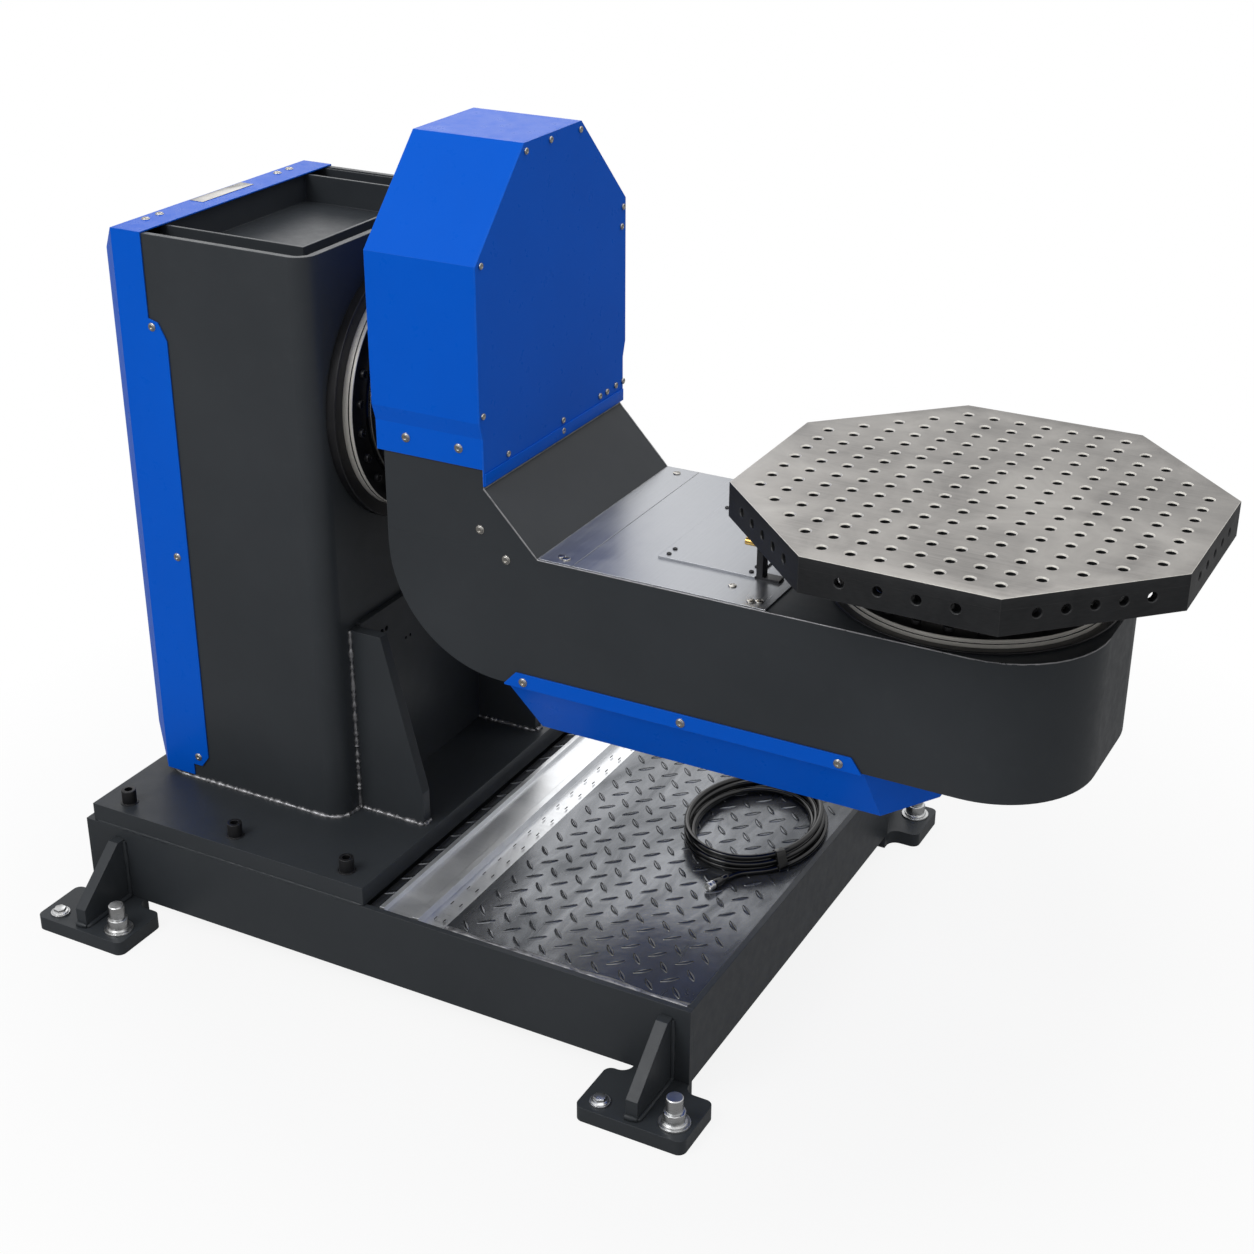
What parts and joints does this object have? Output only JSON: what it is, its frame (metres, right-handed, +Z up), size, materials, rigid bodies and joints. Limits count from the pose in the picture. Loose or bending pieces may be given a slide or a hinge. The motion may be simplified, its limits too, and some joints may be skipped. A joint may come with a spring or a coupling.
{
  "type": "welding positioner",
  "caption": "Two-axis welding positioner: a column tilts an L-shaped arm with an octagonal hole-grid turntable, on a chequer-plate floor base.",
  "frame": {"origin": "on the floor under the middle of the machine's length and width, between the rear feet and the turntable's far edge", "axes": "+X from the column towards the turntable, +Z up; the tilt axis runs along X and the turntable's axis along Z at rest"},
  "size_m": [2.115, 1.27, 1.595],
  "materials": {
    "graphite_paint": "satin",
    "blue_paint": "gloss",
    "chequer_plate": "gloss",
    "galvanised_sheet": "brushed",
    "zinc": "plated",
    "black_steel": "satin",
    "ground_steel": "ground",
    "drive_casing": "satin",
    "brass": "satin",
    "cable_rubber": "gloss"
  },
  "bodies": {
    "base": {"base_side_plates": "graphite_paint", "base_end_plates": "graphite_paint", "base_crossbeams": "graphite_paint", "deck_plate": "chequer_plate", "deck_strip": "chequer_plate", "cable_duct": "galvanised_sheet", "foot_plates": "graphite_paint", "foot_gussets": "graphite_paint", "anchor_bolts": "zinc", "anchor_washers": "zinc", "levelling_studs": "zinc", "levelling_nuts": "zinc", "levelling_washers": "zinc", "column_base_plate": "graphite_paint", "column_plate_screws": "black_steel", "column_tube": "graphite_paint", "column_top_tray": "graphite_paint", "column_gussets": "graphite_paint", "column_front_plate": "graphite_paint", "column_rear_cover": "blue_paint", "tilt_flange": "black_steel", "tilt_bearing_outer_ring": "ground_steel", "tilt_ring_bolts": "black_steel", "tilt_drive_plate": "black_steel", "tilt_gearbox": "drive_casing", "tilt_motor": "drive_casing", "cable_gland": "cable_rubber", "cable_lead": "cable_rubber", "cable_coil": "cable_rubber", "cable_tail": "cable_rubber", "cable_plug": "cable_rubber"},
    "tilt_pinion": {"tilt_pinion": "ground_steel"},
    "arm": {"tilt_bearing_inner_ring": "ground_steel", "tilt_hub": "black_steel", "arm_shell": "graphite_paint", "turntable_flange": "black_steel", "arm_rear_top_plate": "galvanised_sheet", "arm_front_top_plate": "galvanised_sheet", "arm_access_plate": "galvanised_sheet", "earth_post": "black_steel", "brass_terminal": "brass", "head_cover": "blue_paint", "head_face_panel": "blue_paint", "counterweight": "graphite_paint", "arm_bottom_cover": "blue_paint", "turntable_bearing_outer_ring": "ground_steel", "turntable_ring_bolts": "black_steel", "turntable_drive_plate": "black_steel", "turntable_gearbox": "drive_casing", "turntable_motor": "drive_casing"},
    "turntable_pinion": {"turntable_pinion": "ground_steel"},
    "table": {"turntable_bearing_inner_ring": "ground_steel", "turntable_hub": "black_steel", "turntable": "ground_steel"}
  },
  "joints": [
    {"name": "tilt", "type": "hinge", "parent": "base", "child": "arm", "pos_m": [-0.5225, 0, 1.072], "axis": [1, 0, 0], "range_deg": [-180, 180]},
    {"name": "tilt_pinion_spin", "type": "hinge", "parent": "base", "child": "tilt_pinion", "pos_m": [-0.5225, 0, 1.1795], "axis": [1, 0, 0], "range_deg": [-640, 640]},
    {"name": "table_spin", "type": "hinge", "parent": "arm", "child": "table", "pos_m": [0.6575, 0, 1.072], "axis": [0, 0, 1], "continuous": true},
    {"name": "turntable_pinion_spin", "type": "hinge", "parent": "arm", "child": "turntable_pinion", "pos_m": [0.55, 0, 0.867], "axis": [0, 0, 1], "continuous": true}
  ],
  "couplings": [
    {"joint": "tilt_pinion_spin", "follows": "tilt", "ratio": 3.5294},
    {"joint": "turntable_pinion_spin", "follows": "table_spin", "ratio": 3.5294}
  ]
}
